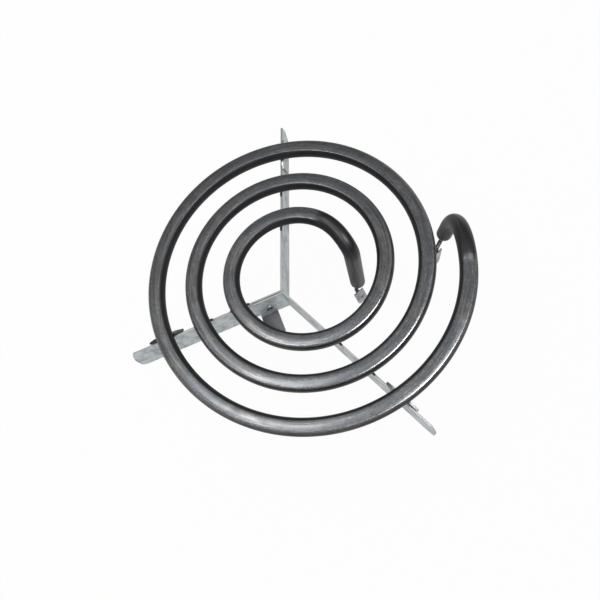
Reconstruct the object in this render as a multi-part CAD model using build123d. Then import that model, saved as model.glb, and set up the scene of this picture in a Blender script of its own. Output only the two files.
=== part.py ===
"""Spiral tubular heating element on a three-armed support.

A sheathed heating tube is wound flat into about three turns, and both of its
cold ends are bent down to tab terminals. It lies on the top edges of two sheet
strips that stand on edge: a long strip bent to a V makes arms 1 and 2, and a
short strip makes arm 3, with a flange riveted to arm 2 and a fixing lug.

Millimetres, +Z up. The origin is the centre of the support, on the plane of
the arms' bottom edges, and arm 1 points along +Y.
"""

import os
from dataclasses import dataclass
from math import acos, asin, atan2, cos, degrees, radians, sin, sqrt, tan

from build123d import *

# Support strips
STRIP_HEIGHT = 18.0
STRIP_THICKNESS = 1.0
STRIP_BEND_RADIUS = 1.0          # of the strip's middle plane
LAP_CLEARANCE = 0.02             # between the flange and arm 2
ARM_1_AZIMUTH = 90.0
ARM_2_AZIMUTH = 200.5
ARM_3_AZIMUTH = -45.4
ARM_1_LENGTH = 93.4
ARM_2_LENGTH = 79.3
ARM_3_LENGTH = 93.2
TIP_SETBACK = 3.0                # how far the top corner stands back from the tip
TIP_TOP_DROP = 10.5              # height that the rounded top corner takes
TIP_BOTTOM_RADIUS = 3.2
FLANGE_LENGTH = 15.0
LUG_WIDTH = 8.8
LUG_LENGTH = 11.8
LUG_CORNER_RADIUS = 0.8

# Heating tube
TUBE_DIAMETER = 8.0
SHEATH_WALL = 0.9
PRESSED_DEPTH = 0.8              # taken off the top by flattening
PRESSED_CORNER_RADIUS = 1.0
SEAT_CLEARANCE = 0.05            # between the tube and the strips' top edges
COIL_PITCH = 18.5
ARCS_PER_TURN = 3
FULL_ARCS = 8
COIL_CENTRE_X = 8.7
COIL_CENTRE_Y = 9.6
ARC_START_AZIMUTH = 92.0
FIRST_ARC_RADIUS = 30.15
INNER_ARC_RADIUS = 25.7
INNER_ARC_ANGLE = 57.0
TAIL_ARC_RADIUS = 69.4
TAIL_ARC_ANGLE = 29.0
ROUND_ANGLE = 23.0               # of the inner arc, left round at its start
RUN_OUT_LENGTH = 3.8             # over which the pressed flat fades at each end
INNER_BEND_RADIUS = 9.5
INNER_BEND_ANGLE = 90.0
INNER_LEG_LENGTH = 36.5
OUTER_BEND_RADIUS = 27.0
OUTER_BEND_ANGLE = 87.0
OUTER_BEND_LEAN = 8.0            # of the bend's plane towards the middle
OUTER_LEG_LENGTH = 9.5

# Inside of the tube and its ends
FILLING_CLEARANCE = 0.05
RESISTANCE_COIL_DIAMETER = 3.4
PIN_DIAMETER = 2.2
PIN_STRAIGHT = 1.0               # out of the tube's mouth, before its knee
PIN_BEND_RADIUS = 2.2
PIN_LAP_LENGTH = 3.2             # behind the tab
PIN_CLEARANCE = 0.03
BUSH_COLLAR_THICKNESS = 1.0
BUSH_COLLAR_SETBACK = 0.5        # of the collar's rim from the tube's outside
BUSH_DEPTH = 3.0
SEAL_DEPTH = 4.0
INNER_KNEE_LEAN = 51.0           # leans are from straight down
INNER_KNEE_AZIMUTH = -115.0
INNER_KNEE_LENGTH = 1.9
INNER_TAB_LEAN = 26.0
INNER_TAB_AZIMUTH = -52.0
INNER_TAB_ROLL = -3.0
OUTER_KNEE_LEAN = 85.0
OUTER_KNEE_AZIMUTH = -121.0
OUTER_KNEE_LENGTH = 4.2
OUTER_TAB_LEAN = 33.0
OUTER_TAB_AZIMUTH = -108.6
OUTER_TAB_ROLL = -75.0

# Tab terminals
TAB_WIDTH = 6.3
TAB_LENGTH = 8.0
TAB_THICKNESS = 0.8
TAB_HOLE_DIAMETER = 1.7
TAB_HOLE_FROM_TIP = 3.6
TAB_TIP_CHAMFER = 0.9
TAB_CLEARANCE = 0.02

# Nibs beside the inner turns, and claw clips at the outer turn
NIB_HEIGHT = 1.1
NIB_REACH = 4.8
NIB_CLEARANCE = 0.15
CLIP_THICKNESS = 1.0
CLIP_CLEARANCE = 0.15
CLIP_LAP_CLEARANCE = 0.02
CLIP_DEPTH = 10.5                # below the strips' top edges
CLIP_FOOT_WIDTH = 8.0
CLIP_SHOULDER_WIDTH = 13.2
CLIP_SHOULDER_DROP = 2.0
CLIP_EAR_WIDTH = 18.4
CLIP_EAR_RISE = 1.6
CLIP_CLAW_WIDTH = 10.6
CLIP_CLAW_RISE = 5.8
CLIP_MOUTH_WIDTH = 5.6
CLIP_CORNER_RADIUS = 1.5

# Rivet
RIVET_DIAMETER = 3.2
RIVET_CLEARANCE = 0.05
RIVET_ALONG = 9.0
RIVET_UP = 7.4
RIVET_HEAD_DIAMETER = 6.0
RIVET_HEAD_HEIGHT = 1.3
RIVET_ROLL_DIAMETER = 4.6
RIVET_ROLL_HEIGHT = 0.5
RIVET_BORE_DIAMETER = 2.4
RIVET_BORE_DEPTH = 1.8

TUBE_RADIUS = TUBE_DIAMETER / 2
BORE_RADIUS = TUBE_RADIUS - SHEATH_WALL
AXIS_HEIGHT = STRIP_HEIGHT + SEAT_CLEARANCE + TUBE_RADIUS
UP = Vector(0, 0, 1)


def heading(azimuth):
    """Unit vector in the horizontal plane."""
    return Vector(cos(radians(azimuth)), sin(radians(azimuth)), 0)


def leaning(lean, azimuth):
    """Unit vector that leans from straight down towards an azimuth."""
    return heading(azimuth) * sin(radians(lean)) - UP * cos(radians(lean))


@dataclass
class Arc:
    """A stretch of the tube's middle line that turns about an axis."""

    centre: Vector
    axis: Vector
    start: Vector
    angle: float

    def point(self, angle):
        return self.centre + (self.start - self.centre).rotate(Axis((0, 0, 0), self.axis), angle)

    def direction(self, angle):
        return self.axis.cross(self.point(angle) - self.centre).normalized()

    def plane(self, angle):
        """Section plane: local x points at the arc's centre."""
        point = self.point(angle)
        return Plane(point, x_dir=self.centre - point, z_dir=self.direction(angle))

    def solid(self, section, first=0.0, last=None):
        """The section turned from one angle of the arc to another."""
        span = (self.angle if last is None else last) - first
        return revolve(self.plane(first) * section, Axis(self.centre, self.axis), span)


@dataclass
class Run:
    """A straight stretch of the tube's middle line."""

    start: Vector
    heading: Vector
    length: float

    def point(self, distance):
        return self.start + self.heading * distance

    def solid(self, section, first=0.0, last=None):
        span = (self.length if last is None else last) - first
        return extrude(Plane(self.point(first), z_dir=self.heading) * section, span)


def bend(start, travel, towards, radius, angle):
    """Arc that leaves start along travel and turns towards a direction."""
    return Arc(start + towards * radius, travel.cross(towards), start, angle)


def corner(start, travel, onward, radius):
    """Arc that leaves start along travel and ends along another direction."""
    along = travel.dot(onward)
    towards = (onward - travel * along).normalized()
    return bend(start, travel, towards, radius, degrees(acos(along)))


def coil_arcs():
    """Arcs of the flat coil, from the inner end outwards.

    Each full arc is a third of a turn. Its centre is one corner of a small
    triangle, and each radius is a third of the pitch more than the last, so
    the arcs meet in line.
    """
    coil_centre = Vector(COIL_CENTRE_X, COIL_CENTRE_Y, AXIS_HEIGHT)
    arc_angle = 360 / ARCS_PER_TURN
    step = COIL_PITCH / ARCS_PER_TURN
    centre_circle = step / 2 / sin(radians(arc_angle / 2))
    arcs = []
    for index in range(FULL_ARCS):
        azimuth = ARC_START_AZIMUTH + arc_angle * index
        centre = coil_centre + heading(azimuth + 90 + arc_angle / 2) * centre_circle
        radius = FIRST_ARC_RADIUS + step * index
        arcs.append(Arc(centre, UP, centre + heading(azimuth) * radius, arc_angle))
    first, last = arcs[0], arcs[-1]
    inner_centre = first.start - heading(ARC_START_AZIMUTH) * INNER_ARC_RADIUS
    inner_start = inner_centre + heading(ARC_START_AZIMUTH - INNER_ARC_ANGLE) * INNER_ARC_RADIUS
    inner = Arc(inner_centre, UP, inner_start, INNER_ARC_ANGLE)
    tail_start = last.point(arc_angle)
    tail_centre = tail_start + (last.centre - tail_start).normalized() * TAIL_ARC_RADIUS
    tail = Arc(tail_centre, UP, tail_start, TAIL_ARC_ANGLE)
    return [inner, *arcs, tail]


COIL = coil_arcs()
INNER_ARC, TAIL_ARC = COIL[0], COIL[-1]


def inner_end_path():
    """Bend and leg at the inner end of the coil, going down."""
    travel = INNER_ARC.direction(0) * -1
    arc = bend(INNER_ARC.start, travel, UP * -1, INNER_BEND_RADIUS, INNER_BEND_ANGLE)
    return arc, Run(arc.point(arc.angle), arc.direction(arc.angle), INNER_LEG_LENGTH)


def outer_end_path():
    """Bend and leg at the outer end of the coil, going down and a little inwards."""
    travel = TAIL_ARC.direction(TAIL_ARC.angle)
    start = TAIL_ARC.point(TAIL_ARC.angle)
    inwards = (TAIL_ARC.centre - start).normalized()
    lean = radians(OUTER_BEND_LEAN)
    towards = inwards * sin(lean) - UP * cos(lean)
    arc = bend(start, travel, towards, OUTER_BEND_RADIUS, OUTER_BEND_ANGLE)
    return arc, Run(arc.point(arc.angle), arc.direction(arc.angle), OUTER_LEG_LENGTH)


INNER_END = inner_end_path()
OUTER_END = outer_end_path()
PRESSED_FROM = ROUND_ANGLE + degrees(RUN_OUT_LENGTH / INNER_ARC_RADIUS)
PRESSED_TO = TAIL_ARC_ANGLE - degrees(RUN_OUT_LENGTH / TAIL_ARC_RADIUS)


def pressed_section(radius, pressed):
    """Tube section with local y up: round, or with a blended flat on top.

    Both forms have the same four edges, so one can be lofted to the other.
    """
    shrink = TUBE_RADIUS - radius
    flat = radius - PRESSED_DEPTH
    corner = PRESSED_CORNER_RADIUS - shrink / 2
    corner_x = sqrt((radius - corner) ** 2 - (flat - corner) ** 2)
    scale = radius / (radius - corner)
    side = Vector(corner_x * scale, (flat - corner) * scale)
    left_side = Vector(-side.X, side.Y)
    if pressed:
        edge = Vector(corner_x, flat)
        half = radians((90 + degrees(atan2(side.Y, side.X))) / 2)
        mid = Vector(corner_x + corner * cos(half), flat - corner + corner * sin(half))
        top = Line((-edge.X, edge.Y), edge)
    else:
        edge = Vector(corner_x, sqrt(radius**2 - corner_x**2))
        half = (atan2(side.Y, side.X) + atan2(edge.Y, edge.X)) / 2
        mid = Vector(radius * cos(half), radius * sin(half))
        top = ThreePointArc((-edge.X, edge.Y), (0, radius), edge)
    right = ThreePointArc(edge, mid, side)
    bottom = ThreePointArc(side, (0, -radius), left_side)
    left = ThreePointArc(left_side, (-mid.X, mid.Y), (-edge.X, edge.Y))
    return make_face([top, right, bottom, left])


def coil_pieces(radius):
    """The flat coil with its pressed top, round at both ends, in stretches."""
    flat = pressed_section(radius, True)
    round_end = pressed_section(radius, False)
    return [
        INNER_ARC.solid(round_end, 0, ROUND_ANGLE),
        loft([INNER_ARC.plane(ROUND_ANGLE) * round_end, INNER_ARC.plane(PRESSED_FROM) * flat]),
        INNER_ARC.solid(flat, PRESSED_FROM),
        *[arc.solid(flat) for arc in COIL[1:-1]],
        TAIL_ARC.solid(flat, 0, PRESSED_TO),
        loft([TAIL_ARC.plane(PRESSED_TO) * flat, TAIL_ARC.plane(TAIL_ARC_ANGLE) * round_end]),
    ]


def end_pieces(end, radius, set_back=0.0):
    """A bent end of the tube: its bend, and its leg up to a set-back."""
    arc, leg = end
    disc = Circle(radius)
    return [arc.solid(disc), leg.solid(disc, 0, leg.length - set_back)]


def core_pieces():
    """The coiled resistance wire's envelope, in the same stretches as the flat coil."""
    disc = Circle(RESISTANCE_COIL_DIAMETER / 2)
    return [
        INNER_ARC.solid(disc, 0, ROUND_ANGLE),
        INNER_ARC.solid(disc, ROUND_ANGLE, PRESSED_FROM),
        INNER_ARC.solid(disc, PRESSED_FROM),
        *[arc.solid(disc) for arc in COIL[1:-1]],
        TAIL_ARC.solid(disc, 0, PRESSED_TO),
        TAIL_ARC.solid(disc, PRESSED_TO),
    ]


def joined(pieces):
    """One solid from pieces that meet face to face."""
    return pieces[0].fuse(*pieces[1:])


def whole_tube(radius):
    """The heating tube's full length at one radius, as one solid."""
    ends = end_pieces(INNER_END, radius) + end_pieces(OUTER_END, radius)
    return joined(coil_pieces(radius) + ends)


def end_plug(end, radius, depth, thickness):
    """A disc inside a leg, with its outer face at a depth below the leg's mouth."""
    leg = end[1]
    return leg.solid(Circle(radius), leg.length - depth - thickness, leg.length - depth)


def pin_path(end, knee, knee_length, tip):
    """The pin's middle line: through the tube's bent end, then a knee and its tip."""
    arc, leg = end
    root = Run(leg.point(leg.length), leg.heading, PIN_STRAIGHT)
    first = corner(root.point(PIN_STRAIGHT), leg.heading, knee, PIN_BEND_RADIUS)
    between = Run(first.point(first.angle), knee, knee_length)
    second = corner(between.point(knee_length), knee, tip, PIN_BEND_RADIUS)
    lap = Run(second.point(second.angle), tip, PIN_LAP_LENGTH)
    return [arc, leg, root, first, between, second, lap]


def pin_solid(path, radius):
    """The terminal pin at one radius."""
    disc = Circle(radius)
    return joined([stretch.solid(disc) for stretch in path])


def tab_solid(path, roll):
    """Tab terminal: a blade with a hole, its back welded along the pin's tip."""
    tip = path[-1]
    level = tip.heading.cross(UP).normalized()
    across = level * cos(radians(roll)) + tip.heading.cross(level) * sin(radians(roll))
    normal = across.cross(tip.heading)
    lift = PIN_DIAMETER / 2 + TAB_CLEARANCE + TAB_THICKNESS / 2
    frame = Plane(tip.start + normal * lift, x_dir=across, z_dir=normal)
    blade = Pos(0, TAB_LENGTH / 2) * Rectangle(TAB_WIDTH, TAB_LENGTH)
    tip_corners = [v for v in blade.vertices() if v.Y > TAB_LENGTH / 2]
    blade = chamfer(tip_corners, TAB_TIP_CHAMFER)
    blade -= Pos(0, TAB_LENGTH - TAB_HOLE_FROM_TIP) * Circle(TAB_HOLE_DIAMETER / 2)
    return extrude(frame * blade, TAB_THICKNESS / 2, both=True)


def bush_solid(end):
    """Insulating bush: a plug in the tube's mouth with a collar outside it."""
    leg = end[1]
    plug = end_plug(end, BORE_RADIUS - FILLING_CLEARANCE, 0, BUSH_DEPTH)
    collar = leg.solid(Circle(TUBE_RADIUS - BUSH_COLLAR_SETBACK), leg.length,
                       leg.length + BUSH_COLLAR_THICKNESS)
    return plug.fuse(collar)


def arm_crossings(azimuth, offset=0.0):
    """Where the tube's middle line crosses the vertical plane of an arm.

    Gives, for each crossing from the inside out, its distance along the arm
    and the angle between the tube and square to the arm.
    """
    along = heading(azimuth)
    aside = heading(azimuth + 90)
    found = []
    for arc in COIL:
        centre = Vector(arc.centre.X, arc.centre.Y, 0)
        radius = (arc.start - arc.centre).length
        gap = centre.dot(aside) - offset
        if abs(gap) >= radius:
            continue
        distance = centre.dot(along) + sqrt(radius**2 - gap**2)
        point = along * distance + aside * offset
        start = arc.start - arc.centre
        start_azimuth = degrees(atan2(start.Y, start.X))
        point_azimuth = degrees(atan2(point.Y - centre.Y, point.X - centre.X))
        if (point_azimuth - start_azimuth) % 360 <= arc.angle:
            found.append((distance, degrees(asin(gap / radius))))
    return found


def arm_profile(length, crossings, root):
    """Side view of an arm, x along it and y up, with its tip and nibs."""
    top_end = length - TIP_SETBACK
    shoulder = STRIP_HEIGHT - TIP_TOP_DROP
    bulge = Vector(length - 0.32 * TIP_SETBACK, STRIP_HEIGHT - 0.45 * TIP_TOP_DROP)
    outline = [
        Line((root, 0), (length - TIP_BOTTOM_RADIUS, 0)),
        RadiusArc((length - TIP_BOTTOM_RADIUS, 0), (length, TIP_BOTTOM_RADIUS), -TIP_BOTTOM_RADIUS),
        Line((length, TIP_BOTTOM_RADIUS), (length, shoulder)),
        ThreePointArc((length, shoulder), bulge, (top_end, STRIP_HEIGHT)),
        Line((top_end, STRIP_HEIGHT), (root, STRIP_HEIGHT)),
        Line((root, STRIP_HEIGHT), (root, 0)),
    ]
    profile = make_face(outline)
    nib_top = STRIP_HEIGHT + NIB_HEIGHT
    reach_at_top = sqrt(TUBE_RADIUS**2 - (AXIS_HEIGHT - nib_top) ** 2)
    for distance, skew in crossings:
        slant = abs(tan(radians(skew))) * STRIP_THICKNESS / 2
        near = reach_at_top / cos(radians(skew)) + slant + NIB_CLEARANCE
        for side in (-1, 1):
            middle = distance + side * (near + NIB_REACH) / 2
            nib = Rectangle(NIB_REACH - near, 2 * NIB_HEIGHT)
            profile += Pos(middle, STRIP_HEIGHT) * nib
    return profile


def arm_plate(azimuth, length, crossings, root, offset=0.0):
    """An arm, standing on edge along its azimuth."""
    frame = Plane(heading(azimuth + 90) * offset, x_dir=heading(azimuth),
                  z_dir=heading(azimuth - 90))
    return extrude(frame * arm_profile(length, crossings, root), STRIP_THICKNESS / 2, both=True)


def strip_bend(corner, azimuth_a, azimuth_b):
    """The bent stretch that joins two straight plates of a strip at a corner.

    Also gives how far from the corner each plate starts.
    """
    turn = (azimuth_b - azimuth_a) % 360
    if turn > 180:
        azimuth_a, azimuth_b, turn = azimuth_b, azimuth_a, 360 - turn
    root = STRIP_BEND_RADIUS / tan(radians(turn / 2))
    centre = corner + heading(azimuth_a + turn / 2) * (STRIP_BEND_RADIUS / sin(radians(turn / 2)))
    start = corner + heading(azimuth_b) * root + UP * (STRIP_HEIGHT / 2)
    hub = centre + UP * (STRIP_HEIGHT / 2)
    section = Rectangle(STRIP_THICKNESS, STRIP_HEIGHT)
    arc = Arc(hub, UP, start, 180 - turn)
    return arc.solid(section), root


def rivet_hole(diameter):
    """Cylinder across arm 2 and the flange on the rivet's line."""
    return rivet_frame() * extrude(Circle(diameter / 2), 4 * STRIP_THICKNESS, both=True)


def rivet_frame():
    """Frame on arm 2's middle plane, with local z towards the flange."""
    point = heading(ARM_2_AZIMUTH) * RIVET_ALONG + UP * RIVET_UP
    return Plane(point, x_dir=heading(ARM_2_AZIMUTH), z_dir=heading(ARM_2_AZIMUTH + 90)).location


def long_strip():
    """Arms 1 and 2 in one strip, bent at the middle of the support."""
    corner, root = strip_bend(Vector(), ARM_1_AZIMUTH, ARM_2_AZIMUTH)
    arm_1 = arm_plate(ARM_1_AZIMUTH, ARM_1_LENGTH, arm_crossings(ARM_1_AZIMUTH)[:-1], root)
    arm_2 = arm_plate(ARM_2_AZIMUTH, ARM_2_LENGTH, arm_crossings(ARM_2_AZIMUTH)[:-1], root)
    return corner.fuse(arm_1, arm_2) - rivet_hole(RIVET_DIAMETER + 2 * RIVET_CLEARANCE)


def short_strip():
    """Arm 3, with the flange that laps arm 2 and the lug folded out of it."""
    lap = STRIP_THICKNESS + LAP_CLEARANCE
    aside = heading(ARM_2_AZIMUTH + 90)
    along_2 = heading(ARM_2_AZIMUTH)
    along_3 = heading(ARM_3_AZIMUTH)
    shift = lap / along_3.dot(aside)
    vertex = along_3 * shift
    corner, root = strip_bend(vertex, ARM_2_AZIMUTH, ARM_3_AZIMUTH)
    arm_3 = arm_plate(ARM_3_AZIMUTH, ARM_3_LENGTH, arm_crossings(ARM_3_AZIMUTH)[:-1], root + shift)
    flange_root = vertex.dot(along_2) + root
    frame = Plane(aside * lap, x_dir=along_2, z_dir=heading(ARM_2_AZIMUTH - 90))
    flange_face = Pos((flange_root + FLANGE_LENGTH) / 2, STRIP_HEIGHT / 2) * Rectangle(
        FLANGE_LENGTH - flange_root, STRIP_HEIGHT)
    flange = extrude(frame * flange_face, STRIP_THICKNESS / 2, both=True)
    lug = lug_solid(aside, along_2, lap)
    strip = corner.fuse(arm_3, flange, lug)
    return strip - rivet_hole(RIVET_DIAMETER + 2 * RIVET_CLEARANCE)


def lug_solid(aside, along_2, lap):
    """Horizontal lug at the flange's bottom edge, at its free end."""
    middle = FLANGE_LENGTH - LUG_WIDTH / 2
    reach = LUG_LENGTH + STRIP_THICKNESS / 2
    plate = Rectangle(LUG_WIDTH, reach)
    centre = along_2 * middle + aside * (lap + reach / 2)
    frame = Plane(centre, x_dir=along_2, z_dir=UP)
    solid = extrude(frame * plate, STRIP_THICKNESS)
    outer_edges = [edge for edge in solid.edges().filter_by(Axis.Z)
                   if edge.center().dot(aside) > lap + reach - STRIP_THICKNESS]
    return fillet(outer_edges, LUG_CORNER_RADIUS)


def clip_solid(azimuth, side):
    """Claw clip flat against an arm, its two ears closed round the outer turn."""
    offset = side * (STRIP_THICKNESS / 2 + CLIP_LAP_CLEARANCE + CLIP_THICKNESS / 2)
    distance, skew = arm_crossings(azimuth, offset)[-1]
    top = STRIP_HEIGHT
    half_outline = [
        (CLIP_FOOT_WIDTH / 2, top - CLIP_DEPTH),
        (CLIP_SHOULDER_WIDTH / 2, top - CLIP_SHOULDER_DROP),
        (CLIP_EAR_WIDTH / 2, top + CLIP_EAR_RISE),
        (CLIP_CLAW_WIDTH / 2, top + CLIP_CLAW_RISE),
        (CLIP_MOUTH_WIDTH / 2, top + CLIP_CLAW_RISE),
        (CLIP_MOUTH_WIDTH / 2, AXIS_HEIGHT),
    ]
    mirrored = [(-x, y) for x, y in reversed(half_outline)]
    body = make_face(Polyline(*half_outline, *mirrored, close=True))
    rounded = [v for v in body.vertices()
               if abs(v.X) > CLIP_CLAW_WIDTH / 2 - CLIP_CORNER_RADIUS / 2]
    body = fillet(rounded, CLIP_CORNER_RADIUS)
    slant = abs(tan(radians(skew))) * CLIP_THICKNESS / 2
    saddle = (TUBE_RADIUS + CLIP_CLEARANCE) / cos(radians(skew)) + slant
    body -= Pos(0, AXIS_HEIGHT) * Circle(saddle)
    frame = Plane(heading(azimuth) * distance + heading(azimuth + 90) * offset,
                  x_dir=heading(azimuth), z_dir=heading(azimuth - 90))
    return extrude(frame * body, CLIP_THICKNESS / 2, both=True)


def rivet_solid():
    """Semi-tubular rivet: domed head behind arm 2, rolled end on the flange."""
    back = STRIP_THICKNESS / 2
    front = 1.5 * STRIP_THICKNESS + LAP_CLEARANCE
    shank = Pos(0, 0, -back) * extrude(Circle(RIVET_DIAMETER / 2), back + front + RIVET_ROLL_HEIGHT)
    head = Pos(0, 0, -back) * extrude(Circle(RIVET_HEAD_DIAMETER / 2), -RIVET_HEAD_HEIGHT)
    head = fillet(head.edges().sort_by(Axis.Z)[0], RIVET_HEAD_HEIGHT * 0.8)
    roll = Pos(0, 0, front) * extrude(Circle(RIVET_ROLL_DIAMETER / 2), RIVET_ROLL_HEIGHT)
    roll = fillet(roll.edges().sort_by(Axis.Z)[-1], RIVET_ROLL_HEIGHT * 0.6)
    mouth = front + RIVET_ROLL_HEIGHT
    bore = Pos(0, 0, mouth - RIVET_BORE_DEPTH) * extrude(Circle(RIVET_BORE_DIAMETER / 2), RIVET_BORE_DEPTH)
    return rivet_frame() * (shank + head + roll - bore)


def filling_solid(pin_rooms):
    """Magnesia packed round the resistance coil and the pins."""
    radius = BORE_RADIUS - FILLING_CLEARANCE
    pieces = [outer - core for outer, core in zip(coil_pieces(radius), core_pieces())]
    for end, room in zip((INNER_END, OUTER_END), pin_rooms):
        pieces += [piece - room for piece in end_pieces(end, radius, BUSH_DEPTH + SEAL_DEPTH)]
    return joined(pieces)


def tube_and_inside():
    """The sheath, and all that it holds, by node name."""
    nodes = {
        "heating_tube_sheath": whole_tube(TUBE_RADIUS) - whole_tube(BORE_RADIUS),
        "resistance_coil": joined(core_pieces()),
    }
    inner_knee = leaning(INNER_KNEE_LEAN, INNER_KNEE_AZIMUTH)
    inner_tip = leaning(INNER_TAB_LEAN, INNER_TAB_AZIMUTH)
    outer_knee = leaning(OUTER_KNEE_LEAN, OUTER_KNEE_AZIMUTH)
    outer_tip = leaning(OUTER_TAB_LEAN, OUTER_TAB_AZIMUTH)
    pin_radius = PIN_DIAMETER / 2
    pin_rooms = []
    for name, end, knee, knee_length, tip, roll in (
        ("inner", INNER_END, inner_knee, INNER_KNEE_LENGTH, inner_tip, INNER_TAB_ROLL),
        ("outer", OUTER_END, outer_knee, OUTER_KNEE_LENGTH, outer_tip, OUTER_TAB_ROLL),
    ):
        path = pin_path(end, knee, knee_length, tip)
        room = pin_solid(path, pin_radius + PIN_CLEARANCE)
        seal = end_plug(end, BORE_RADIUS - FILLING_CLEARANCE, BUSH_DEPTH, SEAL_DEPTH)
        nodes[f"{name}_terminal_pin"] = pin_solid(path, pin_radius)
        nodes[f"{name}_moisture_seal"] = seal - room
        nodes[f"{name}_end_bush"] = bush_solid(end) - room
        nodes[f"{name}_tab_terminal"] = tab_solid(path, roll)
        pin_rooms.append(room)
    nodes["magnesia_filling"] = filling_solid(pin_rooms)
    return nodes


def support():
    """Strips, clips and rivet, by node name."""
    return {
        "long_support_strip": long_strip(),
        "short_support_strip": short_strip(),
        "support_rivet": rivet_solid(),
        "arm_1_tube_clip": clip_solid(ARM_1_AZIMUTH, -1),
        "arm_2_tube_clip": clip_solid(ARM_2_AZIMUTH, -1),
        "arm_3_tube_clip": clip_solid(ARM_3_AZIMUTH, 1),
    }


os.makedirs("parts", exist_ok=True)
for node, shape in {**tube_and_inside(), **support()}.items():
    export_step(shape, f"parts/{node}.step")
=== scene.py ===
"""Looks of a spiral tubular heating element on a three-armed sheet metal support.

The heating tube is swept along its rule by Geometry Nodes, the sheet and
terminal pieces get eased edges, and each finish is a procedural material.
"""
import logging
import math
from dataclasses import dataclass
from enum import Enum
from typing import Any, Mapping, Optional, Protocol, Union

import bmesh
import bpy
from mathutils import Matrix, Vector


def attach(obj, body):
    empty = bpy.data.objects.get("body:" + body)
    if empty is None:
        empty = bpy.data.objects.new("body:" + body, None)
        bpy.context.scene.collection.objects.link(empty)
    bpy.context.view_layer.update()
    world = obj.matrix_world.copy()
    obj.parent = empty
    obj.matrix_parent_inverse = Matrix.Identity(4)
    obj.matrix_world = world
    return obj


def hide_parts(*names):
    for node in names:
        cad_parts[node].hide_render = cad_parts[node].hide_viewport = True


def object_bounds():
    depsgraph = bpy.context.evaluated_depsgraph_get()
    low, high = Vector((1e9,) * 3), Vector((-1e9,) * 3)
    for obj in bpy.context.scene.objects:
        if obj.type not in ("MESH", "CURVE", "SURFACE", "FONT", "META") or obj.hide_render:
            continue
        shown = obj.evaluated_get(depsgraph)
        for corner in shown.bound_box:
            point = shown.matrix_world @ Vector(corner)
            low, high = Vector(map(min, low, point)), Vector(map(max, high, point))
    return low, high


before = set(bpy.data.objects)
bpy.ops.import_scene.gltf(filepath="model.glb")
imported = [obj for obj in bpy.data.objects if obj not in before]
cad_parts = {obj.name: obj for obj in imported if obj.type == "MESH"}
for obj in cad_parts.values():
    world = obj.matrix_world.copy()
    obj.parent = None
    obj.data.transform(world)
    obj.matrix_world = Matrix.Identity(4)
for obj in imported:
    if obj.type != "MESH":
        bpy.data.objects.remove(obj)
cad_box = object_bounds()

logging.basicConfig(level=logging.INFO, format="%(levelname)s %(message)s")
log = logging.getLogger("heating_element")

MM = 0.001
Number = Union[int, float]
Colour = tuple[float, float, float]
Place = tuple[float, float, float]

# Sizes that more than one class reads, in metres and degrees.
STRIP_TOP = 18.0 * MM
ARM_2_AZIMUTH = 200.5
COIL_CENTRE = (8.7 * MM, 9.6 * MM)
TUBE_RADIUS = 4.0 * MM
TUBE_AXIS_HEIGHT = 22.05 * MM
PRESSED_DEPTH = 0.8 * MM
PRESSED_HEIGHT = TUBE_AXIS_HEIGHT + TUBE_RADIUS - PRESSED_DEPTH


def input_of(node: bpy.types.Node, key: Union[int, str]) -> bpy.types.NodeSocket:
    """A node's input of that number, or its enabled input of that name."""
    if isinstance(key, int):
        return node.inputs[key]
    return next(socket for socket in node.inputs if socket.name == key and socket.enabled)


# ---------------------------------------------------------------- shader maths


class Wire:
    """A number on a shader's wire; arithmetic on it adds Math nodes."""

    def __init__(self, board: "Board", socket: bpy.types.NodeSocket) -> None:
        """Wraps an output socket of a board's node."""
        self.board = board
        self.socket = socket

    def _math(self, operation: str, *operands: Any, clamp: bool = False) -> "Wire":
        """Adds one Math node.

        Args:
            operation: the Math node's operation.
            operands: up to three numbers or wires, in socket order.
            clamp: whether the result is kept between 0 and 1.

        Returns:
            The node's result.
        """
        node = self.board.add("ShaderNodeMath", {"operation": operation, "use_clamp": clamp},
                              dict(enumerate(operands)))
        return Wire(self.board, node.outputs[0])

    def __add__(self, other: Any) -> "Wire":
        """Sum."""
        return self._math("ADD", self, other)

    def __radd__(self, other: Any) -> "Wire":
        """Sum with a plain number on the left."""
        return self._math("ADD", other, self)

    def __sub__(self, other: Any) -> "Wire":
        """Difference."""
        return self._math("SUBTRACT", self, other)

    def __rsub__(self, other: Any) -> "Wire":
        """Difference from a plain number."""
        return self._math("SUBTRACT", other, self)

    def __mul__(self, other: Any) -> "Wire":
        """Product."""
        return self._math("MULTIPLY", self, other)

    def __rmul__(self, other: Any) -> "Wire":
        """Product with a plain number on the left."""
        return self._math("MULTIPLY", other, self)

    def __truediv__(self, other: Any) -> "Wire":
        """Quotient."""
        return self._math("DIVIDE", self, other)

    def __pow__(self, other: Any) -> "Wire":
        """Power."""
        return self._math("POWER", self, other)

    def clamped(self) -> "Wire":
        """The value kept between 0 and 1."""
        return self._math("ADD", self, 0.0, clamp=True)

    def size(self) -> "Wire":
        """The value without its sign."""
        return self._math("ABSOLUTE", self)

    def larger(self, other: Any) -> "Wire":
        """The larger of two values."""
        return self._math("MAXIMUM", self, other)

    def step(self, low: Number, high: Number) -> "Wire":
        """A smooth step.

        Args:
            low: the value at which the result is 0.
            high: the value at which the result is 1.

        Returns:
            0 to 1, eased at both ends; low may be above high.
        """
        settings = {"interpolation_type": "SMOOTHSTEP", "clamp": True}
        if low > high:
            return 1 - self.step(high, low)
        node = self.board.add("ShaderNodeMapRange", settings,
                              {"Value": self, "From Min": low, "From Max": high})
        return Wire(self.board, node.outputs["Result"])


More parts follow.
